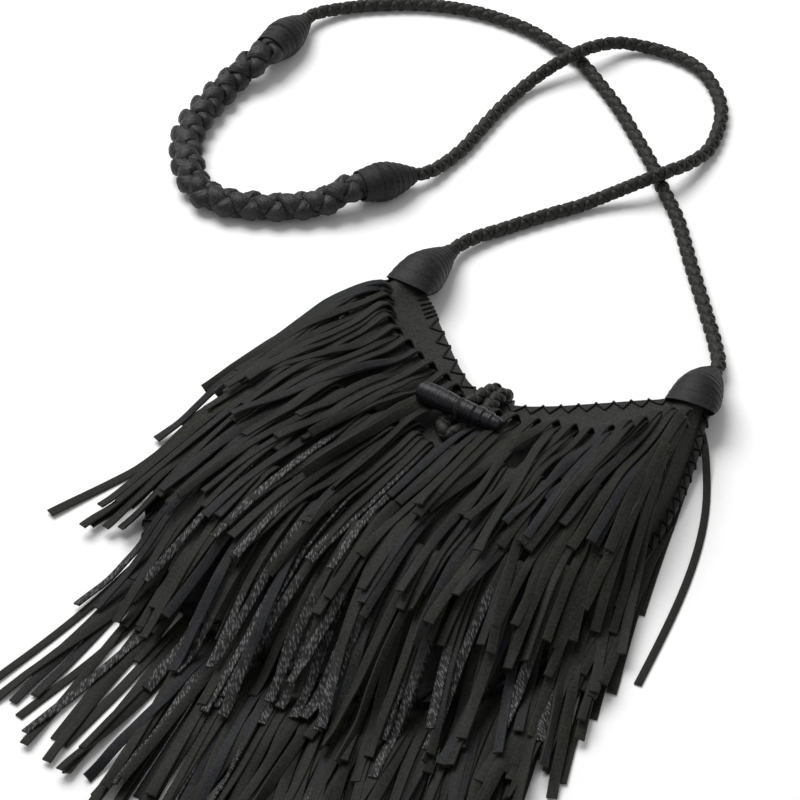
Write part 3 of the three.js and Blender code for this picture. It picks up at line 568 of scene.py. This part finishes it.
def shell(name, outer, inner):
    """Closed leather panel between two grids, the first with its face up."""
    across, lines = outer.shape[:2]
    surface = Surface()
    down = np.array([distances(line) for line in outer])
    uv = np.dstack([outer[:, :, 0], -down]).reshape(-1, 2)
    surface.add(outer.reshape(-1, 3), grid_faces(across, lines), uv)
    surface.add(inner.reshape(-1, 3), grid_faces(across, lines, flip=True), uv)
    for edge in (np.s_[:, 0], np.s_[:, -1], np.s_[0, :], np.s_[-1, :]):
        wall = np.stack([outer[edge], inner[edge]], axis=1)
        flip = edge in (np.s_[:, -1], np.s_[0, :])
        wall_uv = np.column_stack([np.repeat(np.arange(len(wall)), 2), np.tile([0, LEATHER], len(wall))])
        surface.add(wall.reshape(-1, 3), grid_faces(len(wall), 2, flip=flip), wall_uv)
    return surface.piece(name, PANEL, PANEL_SHARP)


front_lines = np.append(np.linspace(0, 1, PANEL_STEPS["front"]), np.linspace(1.15, 2, PANEL_STEPS["flange"]))
front_grid = panel_grid(front_line, front_lines)
front_normals = unit(np.cross(np.gradient(front_grid, axis=1), np.gradient(front_grid, axis=0)))
front = shell("bag_front_leather", front_grid, front_grid - front_normals * LEATHER)
place(front, "panel_leather", "bag_front")
back_grid = panel_grid(back_line, np.linspace(0, 2, PANEL_STEPS["back"]))
place(shell("bag_back_leather", back_grid + (0, 0, LEATHER), back_grid), "panel_leather", "bag_back")


# Fringe
class Pile:
    """Heights of all that lies on the surface so far, on a field of points one millimetre apart."""

    def __init__(self, base):
        self.base = base
        self.height = base.copy()

    def cells(self, x, y):
        return np.clip(x - PILE["x"], 0, PILE["columns"] - 2), np.clip(y - PILE["y"], 0, PILE["rows"] - 2)

    def sample(self, field, x, y):
        u, v = self.cells(x, y)
        i, j = u.astype(int), v.astype(int)
        a, b = u - i, v - j
        low, high = (field[k, i] * (1 - a) + field[k, i + 1] * a for k in (j, j + 1))
        return low * (1 - b) + high * b

    def at(self, x, y):
        """Height at points, with a thick pile pressed a little."""
        base = self.sample(self.base, x, y)
        return base + PRESS * (1 - np.exp((base - self.sample(self.height, x, y)) / PRESS))

    def cover(self, x, y, tops):
        u, v = self.cells(x, y)
        for side in (np.floor, np.ceil):
            for end in (np.floor, np.ceil):
                np.maximum.at(self.height, (end(v).astype(int), side(u).astype(int)), tops)


def denser(grid, times, axis):
    """A grid with more points along one axis, on straight lines between its own."""
    count = grid.shape[axis]
    places = np.linspace(0, count - 1, (count - 1) * times + 1)
    low = np.minimum(places.astype(int), count - 2)
    share = (places - low).reshape([-1 if k == axis else 1 for k in range(3)])
    return np.take(grid, low, axis) * (1 - share) + np.take(grid, low + 1, axis) * share


def draped(grid):
    """Heights of what lies loosely over a panel: no steeper than the drape's slope, and rounded."""
    bare = Pile(np.zeros((PILE["rows"], PILE["columns"])))
    bare.cover(*denser(denser(grid, PILE_FILL, 0), PILE_FILL, 1).reshape(-1, 3).T)
    height = bare.height
    for _ in range(int(bare.height.max() / DRAPE_SLOPE)):
        before = height
        for di, dj in np.ndindex(3, 3):
            near = np.roll(before, (di - 1, dj - 1), (0, 1))
            height = np.maximum(height, near - DRAPE_SLOPE * math.hypot(di - 1, dj - 1))
    for _ in range(DRAPE_ROUNDS):
        mean = sum(np.roll(height, shift, axis) for shift in (-1, 1) for axis in (0, 1)) / 4
        height = np.maximum(bare.height, mean)
    return height


def strip_outline(width):
    """Outline of a strip across its length: bowed a little, with its edges rounded."""
    half, thick, bevel = width / 2, STRIP_THICKNESS, STRIP_BEVEL
    inner, bow = half * CAMBER_SHARE, STRIP_CAMBER
    right = [(inner, bow), (half - bevel, 0), (half, bevel)]
    right += [(half, thick - bevel), (half - bevel, thick), (inner, thick + bow)]
    left = [(-x, z) for x, z in right[::-1]]
    return left[4:] + right + left[:4]


# Share of the cut edge's colour at each point of the outline
OUTLINE_EDGE = (0, 0, 0, 0, 0.8, 0.8, 0.15, 0, 0, 0.15, 0.8, 0.8)


def average(values, count):
    """Moving average with the ends held."""
    return np.convolve(np.pad(values, count // 2, "edge"), np.ones(count) / count, "valid")


def stiff(contact):
    """Height of a strip that bends down no more than its stiffness lets it, and lies on all contacts."""
    reach = STRIP_STEP * np.subtract.outer(np.arange(len(contact)), np.arange(len(contact)))
    hung = (contact[None, :] - STRIP_BEND / 2 * reach**2).max(1)
    return np.maximum(average(hung, SMOOTHING["height"]), hung)


def strip_route(pile, start, lean, bends, length, ease):
    """Shares of a strip's length, its plan points and headings, with steps made shorter where the pile is steep."""
    count = round(length / STRIP_STEP)
    t = np.linspace(0, 1, count + 1)
    heading = np.radians(lean + bends[0] * (1 - (1 - t) ** ease) + bends[1] * np.sin(2 * math.pi * t))
    forward = np.column_stack([np.sin(heading), -np.cos(heading)])
    stride = np.full(count, STRIP_STEP)
    for _ in range(3):
        plan = np.asarray(start) + np.vstack([[0, 0], np.cumsum(forward[:-1] * stride[:, None], axis=0)])
        slope = average(np.diff(pile.at(*plan.T)) / stride, SMOOTHING["slope"])
        stride = STRIP_STEP / np.sqrt(1 + slope**2)
    return t, plan, heading


def lay_strip(surface, pile, start, lean, bends, length, width, twist, lift, grain, tone, head, ease=1):
    """Lays one strip on the pile: plan route, height over what is there, then its mesh.

    head is the strip's height at its start, the places between which it comes onto the pile, and its arch. grain is
    whether it shows its grain side, and the share of its length from which it does.
    """
    t, plan, heading = strip_route(pile, start, lean, bends, length, ease)
    side = np.column_stack([-np.cos(heading), -np.sin(heading)])
    offsets = np.linspace(-0.5, 0.5, 5) * width
    under = np.column_stack([pile.at(*(plan + side * offset).T) for offset in offsets])
    between = 0.75 * width  # from the middle of the two places on one side to that on the other
    slope = average((under[:, 3:].mean(1) - under[:, :2].mean(1)) / between, SMOOTHING["roll"])
    roll = np.arctan(np.clip(slope, -ROLL_LIMIT, ROLL_LIMIT)) + twist * smoothstep(t, TWIST["from"], 1)
    across_heights = under - np.tan(roll)[:, None] * (offsets * np.cos(roll[:, None]))
    contact = REST_SHARE * across_heights.max(1) + (1 - REST_SHARE) * across_heights.mean(1)
    contact = np.maximum(contact, FLOOR_CLEARANCE + np.abs(np.sin(roll)) * width / 2)
    places = t * length
    height = contact + (stiff(contact) - contact) * smoothstep(places, 0, HEAD_FADE)
    height = height + lift * smoothstep(t, LIFT_FROM, 1) ** 2
    across = np.column_stack([side * np.cos(roll)[:, None], np.sin(roll)])
    body = np.linspace(HEAD_LENGTH + HEAD_STEP, length, round((length - HEAD_LENGTH) / RING_STEP))
    fine = np.concatenate([np.arange(0, HEAD_LENGTH, HEAD_STEP), body])
    line, across = (
        np.column_stack([np.interp(fine, places, values) for values in table.T])
        for table in (np.column_stack([plan, height]), across)
    )
    first, (leaves, lands), arch = head
    hump = arch * (1 - smoothstep(fine, HEAD_CREST, HEAD_FADE))
    line[:, 2] = first + (line[:, 2] + hump - first) * smoothstep(fine, leaves, lands)
    cover_strip(pile, line, across, width)
    tangents = unit(np.gradient(line, axis=0))
    above = unit(np.cross(across, tangents))
    outline = strip_outline(width)
    vertices, faces, uv = tube(line, np.cross(tangents, above), above, outline, distances(line))
    sides = len(outline)
    edge = np.append(np.tile(OUTLINE_EDGE, len(line)), np.ones(2 * sides))
    cross = np.tile([x * MM for x, _ in outline], len(line) + 2)
    grained, begins = grain
    shown = np.append(grained * smoothstep(fine / length, begins, begins + GRAIN_FADE), [0, 0])
    uv = uv + np.multiply(MAP_SHIFT, tone)
    surface.add(vertices, faces, uv, tone=tone, grain=np.repeat(shown, sides), edge=edge, cross=cross)


def cover_strip(pile, centres, across, width):
    """Adds a strip's top to the pile, past its start."""
    count = len(centres)
    fine = np.linspace(3, count - 1, 3 * count)
    for offset in np.linspace(-0.5, 0.5, 7) * width:
        x, y, z = (np.interp(fine, np.arange(count), column) for column in (centres + across * offset).T)
        pile.cover(x, y, z + STRIP_THICKNESS)


def along_line(line, pitch, values):
    """Plan points one pitch apart along a line, each with the value that goes with it."""
    along, numbers = distances(line), np.arange(len(line))
    places = np.interp(np.arange(pitch / 2, along[-1], pitch), along, numbers)
    return zip(*(np.interp(places, numbers, column) for column in (*line.T, values)))


def slits(row):
    """Start points of a row's pairs of strips, with the place that their lean is looked up by."""
    x = np.linspace(row["line"][0][0], row["line"][-1][0], LINE_POINTS)
    line = np.column_stack([x, average(lookup(row["line"], x), SMOOTHING["line"])])
    return [start for start in along_line(line, row["pitch"], x) if abs(start[0]) >= row.get("bare", 0)]


def inside_seam(s, distance):
    """Plan point a given distance inside the seam edge."""
    part = section(s)
    return part["seam"] + (part["mouth"] - part["seam"]) * distance / part["span"]


def seam_row(first, last, pitch, length):
    """A stretch of the seam's strips, with their start points from the left to the right."""
    s = np.linspace(first, last, LINE_POINTS)
    line = np.array([inside_seam(value, SEAM_INSET) for value in s])
    row = dict(length=length, stagger=0, grain=SEAM_GRAIN, leans=SEAM_LEANS, turns=SEAM_TURNS)
    return row, along_line(line, pitch, s)


def strip_pairs(row, starts, dice):
    """The pairs of strips of a row, in the order that they are laid, each with its own disorder."""
    pairs = []
    for number, (x, y, place_across) in enumerate(starts):
        drift = DRIFT["lean"] * math.sin(DRIFT["rate"] * number + row["length"])
        lean, turn = (lookup(row[key], place_across) for key in ("leans", "turns"))
        grain_share = row["grain"] * lookup(GRAIN_SHARE, x)
        y += dice.uniform(-1, 1) * row["stagger"]
        tone = dice.random()
        pair = []
        for half in (-1, 1):
            twisted = dice.random() < TWIST["share"]
            twist = dice.uniform(TWIST["least"], TWIST["most"]) * dice.choice((-1, 1)) if twisted else 0
            stray = dice.uniform(-1, 1) * STRAY["lean"] if dice.random() < STRAY["share"] else 0
            strip = dict(
                start=(x - half * PAIR["across"] + dice.uniform(-START_SPREAD, START_SPREAD), y + half * PAIR["down"]),
                lean=lean + drift - half * PAIR["split"] + dice.gauss(0, LEAN_SPREAD) + stray,
                bends=(turn + dice.gauss(0, BEND_SPREAD), dice.gauss(0, WAVER)),
                ease=ROW_EASE,
                length=row["length"] + dice.uniform(-1, 1) * LENGTH_SPREAD,
                width=STRIP_WIDTH + dice.uniform(-1, 1) * WIDTH_SPREAD,
                twist=twist,
                lift=dice.choice(LIFTS),
                grain=(float(dice.random() < grain_share), dice.uniform(0, GRAIN_FROM)),
                tone=min(1, max(0, tone + dice.gauss(0, TONE_SPREAD))),
            )
            pair.append(strip)
        pairs.append(pair)
    dice.shuffle(pairs)
    return [strip for pair in pairs for strip in pair]


def loose_strip(s, inset, turn, **way):
    bends, grain = (turn, 0), (0, 0)
    return dict(way, start=inside_seam(s, inset), bends=bends, twist=0, lift=0, grain=grain, tone=LOOSE_TONE)


def seam_height(start):
    """Height of the strips under the back's flange at the seam point nearest to a plan point."""
    parts = [section(s) for s in np.linspace(-1, 1, 201)]
    nearest = min(parts, key=lambda part: np.linalg.norm(part["seam"] - start))
    return max(SEAM_LEAST, nearest["flange_top"] - 2 * LEATHER - 2 * GAP - STRIP_THICKNESS)


def fringe():
    """Lays the seam's strips on the floor, then the front's rows on them, from the lowest up."""
    dice = random.Random(SEED)
    pile = Pile(draped(front_grid))
    floor = Pile(np.full_like(pile.base, FLOOR_CLEARANCE))
    surfaces = {"fringe_seam": Surface()}
    strips = [loose_strip(**way) for way in LOOSE]
    for stretch in SEAM_ROWS:
        strips += strip_pairs(*seam_row(**stretch), dice)
    strips += strip_pairs(*seam_row(**SEAM_FILL), random.Random(SEED + 1))
    for strip in strips:
        lay_strip(surfaces["fringe_seam"], floor, head=(seam_height(strip["start"]), SEAM_FALL, 0), **strip)
    pile.height = np.maximum(pile.height, floor.height)
    for row in reversed(FRINGE_ROWS):
        surface = surfaces.setdefault(row["name"], Surface())
        for strip in strip_pairs(row, slits(row), dice):
            panel = pile.sample(pile.base, *np.array(strip["start"])[:, None])[0]
            arch = lookup(row["arches"], strip["start"][0])
            lay_strip(surface, pile, head=(panel - HEAD_SINK, (0, HEAD_CREST), arch), **strip)
    for name, surface in surfaces.items():
        place(surface.piece(name + "_strips", STRIP, STRIP_SHARP), "strip_leather", name)


fringe()


# Braids
def lens(width, thickness, sides=10):
    """Rounded outline of a lace, thin at its edges."""
    angles = [2 * math.pi * k / sides for k in range(sides)]
    return [(width / 2 * math.cos(a), thickness / 2 * math.sin(a)) for a in angles]


def wander(at, number):
    """Slow disorder between -1 and 1, different for each lace."""
    waves = (1, 1.7, 2.6)
    return sum(np.sin(k * (2.1 * at + 1.7 * number + 1)) for k in waves) / len(waves)


def braid(name, route, size, material=LACE):
    """Four-strand round braid along a route: two laces turn each way and pass over and under each other."""
    centres, places = smooth_curve(route, size["step"])
    side, up = cross_frames(centres)
    turn = 2 * math.pi * places / size["pitch"]
    wave = size["lace_thickness"] / 2
    middle = size["width"] / 2 - size["lace_thickness"]
    squash = size["height"] / size["width"]
    surface = Surface()
    for number in range(4):
        hand = 1 if number < 2 else -1
        angle = hand * turn + math.pi * (number % 2)
        radius = middle + hand * wave * np.cos(2 * turn) + size["disorder"] * wander(places / size["pitch"], number)
        level, rise = side * np.cos(angle)[:, None], up * np.sin(angle)[:, None]
        line = centres + (level + rise * squash) * radius[:, None]
        along = unit(np.gradient(line, axis=0))
        across = unit(np.cross(along, unit(level + rise)))
        outline = lens(size["lace"], size["lace_thickness"])
        vertices, faces, uv = tube(line, across, np.cross(across, along), outline, places)
        surface.add(vertices, faces, uv + (LACE_SHIFT * number, 0))
    return surface.piece(name, material, LACE_SHARP), centres, places[-1]


def cone_end(name, end):
    """The base or tip of a cone, and the direction out of it."""
    base, tip = np.array(CONES[name][:2], float)
    out = unit(tip - base)
    return (tip, out) if end == "tip" else (base, -out)


def strap_route(route, size, start, end):
    """Route from one cone end to another, leaving and arriving along their axes, lifted as the laced braid lies."""
    (first, leaving), (last, arriving) = ([point - out * INSIDE, point + out * LEAD] for point, out in (start, end))
    middle = [np.array((*point, size["rest"])[:3]) + (0, 0, size["lift"]) for point in route]
    return [first, leaving, *middle, arriving, last]


def metres(points):
    return [tuple(float(value) * MM for value in point) for point in points]


def strap():
    runs = (
        ("strap_cord_left", CORD, LEFT_ROUTE, "tip", "horn_wrap_left", "ferrule_lower"),
        ("strap_cord_right", CORD, RIGHT_ROUTE, "tip", "horn_wrap_right", "ferrule_upper"),
        ("shoulder_braid", BRAID, BRAID_ROUTE, "base", "ferrule_lower", "ferrule_upper"),
    )
    for node, size, route, end, from_cone, to_cone in runs:
        carried = to_cone if end == "tip" else None
        start = cone_end(from_cone, end)
        way = strap_route(route, size, start, cone_end(to_cone, end))
        piece, centres, length = braid(node + "_laces", way, size, LACE if carried else PLAIT)
        place(piece, "braid_leather", node)
        metres(start[:1])[0]
        metres(centres[::3])


# Wraps
def lathe(name, base, tip, profile, material, turns, depth, grooves, lip=0, apron=0, flat=1, ease=9):
    """Leather rolled round an axis: a smooth profile, wound turns, cut grooves and, at the base, an open sleeve's lip.

    The top of the base reaches `apron` further over the panel, and the base is `flat` times as high as wide.
    """
    base, tip = np.array([base, tip], float)
    length = np.linalg.norm(tip - base)
    along = unit(tip - base)
    side = unit(np.cross(along, (0, 0, 1)))
    up = np.cross(side, along)
    t, sides = np.linspace(0, 1, WOUND["rings"]), WOUND["sides"]
    radius = average(lookup(profile, t), ease)
    for where, deep in grooves:
        radius = radius - deep * np.exp(-(((t - where) * length / WOUND["groove"]) ** 2))
    angle = np.linspace(0, 2 * math.pi, sides, endpoint=False)
    phase = (turns * t[:, None] + angle / (2 * math.pi)) % 1
    ridge = depth * (0.5 - phase) - depth * WOUND["lap"] * np.exp(-((phase / WOUND["lap_width"]) ** 2))
    rim = radius[:, None] + ridge * smoothstep(t, 0, WOUND["plain"])[:, None]
    places = t * length
    if lip:
        inside = rim[:2] - lip
        rim = np.vstack([inside[1:], inside[:1], rim])
        t = np.concatenate([[0, 0], t])
        places = np.concatenate([[WOUND["mouth"], 0], places])
    upper = np.clip((np.sin(angle) + WOUND["apron_side"]) / (1 + WOUND["apron_side"]), 0, 1)
    back = apron * np.outer(1 - smoothstep(t, 0, WOUND["apron"]), upper)
    height = (1 - (1 - flat) * (1 - smoothstep(t, 0, WOUND["flat"]))[:, None]) * np.sin(angle)
    ring = side * np.cos(angle)[:, None] + up * height[:, :, None]
    points = base + along * (places[:, None] - back)[:, :, None] + ring * rim[:, :, None]
    surface = Surface()
    uv = np.dstack(np.broadcast_arrays(places[:, None], WOUND["map_radius"] * angle)).reshape(-1, 2)
    surface.add(points.reshape(-1, 3), grid_faces(len(points), sides, wrap=True, flip=True), uv)
    for end, flip in ((0, False), (-1, True)):
        cap = np.vstack([points[end], points[end].mean(0)])
        fan = [(sides, (k + 1) % sides, k) for k in range(sides)]
        surface.add(cap, [face[::-1] if flip else face for face in fan], np.zeros((sides + 1, 2)))
    return surface.piece(name, material, PANEL_SHARP)


def wraps():
    for name, (base, tip, profile) in CONES.items():
        looks = CONE_LOOKS[name.split("_")[0]]
        place(lathe(name + "_wrap", base, tip, profile, WRAP, **looks), "wrap_leather", name)


# Toggle closure
def toggle():
    left, right = ((TOGGLE[side], TOGGLE["y"], TOGGLE["z"]) for side in ("left", "right"))
    bar = lathe("toggle_bar_roll", left, right, TOGGLE_PROFILE, ROLL, **TOGGLE_LOOKS)
    place(bar, "wrap_leather", "toggle_bar")
    legs = [[(BAR_MIDDLE + side * x, y, z) for x, y, z in LOOP_LEG] for side in (-1, 1)]
    route = [*legs[0], (BAR_MIDDLE, LOOP_END_Y, LOOP_LEG[-1][2]), *legs[1][::-1]]
    place(braid("toggle_loop_braid", route, LOOP)[0], "braid_leather", "toggle_loop")
    place(thong(), "strip_leather", "toggle_thong")


def thong():
    """Lace wound round the middle of the bar, with two ends down to the panel."""
    turn = np.linspace(0, 2 * math.pi * THONG["turns"], THONG["points"])
    x = BAR_MIDDLE + THONG["width"] * (turn / turn[-1] - 0.5)
    y, z = TOGGLE["y"] + THONG["radius"] * np.sin(turn), TOGGLE["z"] - THONG["radius"] * np.cos(turn)
    wound = np.column_stack([x, y, z])
    surface = Surface()
    lines = [wound]
    for end, reach in ((wound[0], -1), (wound[-1], 1)):
        foot = (BAR_MIDDLE + reach, TOGGLE["y"] + reach, THONG["foot"])
        way = [end, end + (0, reach * THONG["bend"], -THONG["drop"]), foot]
        lines.append(smooth_curve(way, THONG["step"])[0])
    for line in lines:
        add_lace(surface, line, THONG["lace"], THONG["thickness"], (1, 0, 0.01))
    return surface.piece("toggle_thong_lace", PANEL, LACE_SHARP)


def add_lace(surface, line, width, thickness, up=(0, 0, 1)):
    """A thin lace along a line, flat across the given direction."""
    side, above = cross_frames(line, up)
    surface.add(*tube(line, side, above, lens(thickness, width, 8), distances(line)))


# Lacing along the mouth and the side seams
def laced(edge, stitches):
    """Lace over an edge, in stitches from places along it to those of holes."""
    surface = Surface()
    width, w = LACING["width"], edge["w"]
    lift = (0, 0, width * LACING["lift"])
    deep = np.array([0, 0, edge["sheets"] * LEATHER])
    for first, last in stitches:
        top, inner = front_line(first, [w, edge["inner"]])
        out = unit((top - inner) * (1, 1, 0)) * width * edge["out"]
        leg = [top - deep + out * edge["under"], top - deep / 2 + out, top + out / 2 + lift]
        for share in np.linspace(0.1, 1, 6):
            s = first + (last - first) * share
            from_edge = min(1, share * LACING["hole"] / section(s)[edge["cut"]])
            leg.append(front_line(s, [w + (1 - w) * from_edge])[0] + lift)
        leg.append(leg[-1] - (0, 0, LACING["sunk"]))
        add_lace(surface, np.array(leg), width, width * LACING["thick"], LACING["up"])
    place(surface.piece(edge["name"], CORD_BLACK, LACE_SHARP), "braid_leather")


def zigzag(edge, pitch, first, last):
    """Pairs of edge and hole at even distances along an edge."""
    s = np.linspace(first, last, LACING["points"])
    along = distances(np.array([front_line(value, [edge["w"]])[0] for value in s]))
    places = np.interp(np.linspace(0, along[-1], 2 * round(along[-1] / pitch) + 1), along, s)
    return [(end, hole) for k, hole in enumerate(places) if k % 2 for end in (places[k - 1], places[k + 1])]


def lacing():
    reach, dense = LACING["reach"], LACING["dense"]
    stitches = [(end, hole) for end, hole in zigzag(MOUTH, LACING["wrap"], -reach, dense) if end < hole]
    stitches += zigzag(MOUTH, LACING["left"], dense, 0) + zigzag(MOUTH, LACING["right"], 0, reach)
    laced(MOUTH, stitches)
    laced(SEAM, zigzag(SEAM, LACING["right"], -reach, reach))


wraps()
toggle()
lacing()
strap()


# Floor, light and camera
FLOOR = dict(size=8, rough=0.9, specular=0.1, fibre=300, tones=((0.3, 0.93), (0.7, 0.95)))
SKY = 0.43
KEY_LIGHT = dict(place=(-1.3, 0.7, 2.0), target=(-0.05, 0.08, 0), size=2.0, energy=65)
CAMERA = dict(place=(0.6695, -0.9998, 1.2119), target=(-0.0478, 0.0840, 0.0), lens=157.5, sensor=36)


def aimed(name, data, place, target):
    """A light or camera at a place, turned to a target."""
    thing = bpy.data.objects.new(name, data)
    thing.location = place
    thing.rotation_euler = (Vector(target) - Vector(place)).to_track_quat("-Z", "Y").to_euler()
    bpy.context.scene.collection.objects.link(thing)
    return thing


def studio():
    scene = bpy.context.scene
    bpy.ops.mesh.primitive_plane_add(size=FLOOR["size"], location=(0, 0, 0))
    floor = bpy.context.object
    floor.name = "floor"
    tree = Tree("floor_paper")
    paper = tree.ramp(tree.noise(tree.add("TexCoord", "Object", {}), FLOOR["fibre"], 3, 0.5), FLOOR["tones"])
    look = tree.shade(Base_Color=paper, Roughness=FLOOR["rough"], Specular_IOR_Level=FLOOR["specular"])
    floor.data.materials.append(look)
    scene.world = scene.world or bpy.data.worlds.new("studio")
    scene.world.use_nodes = True
    sky = scene.world.node_tree.nodes["Background"].inputs
    sky["Color"].default_value = (1, 1, 1, 1)
    sky["Strength"].default_value = SKY
    light = bpy.data.lights.new("key_light", "AREA")
    light.shape, light.size, light.energy = "DISK", KEY_LIGHT["size"], KEY_LIGHT["energy"]
    aimed("key_light", light, KEY_LIGHT["place"], KEY_LIGHT["target"])
    camera = bpy.data.cameras.new("camera")
    camera.lens, camera.sensor_width = CAMERA["lens"], CAMERA["sensor"]
    scene.camera = aimed("camera", camera, CAMERA["place"], CAMERA["target"])
    scene.view_settings.view_transform = "Standard"


studio()
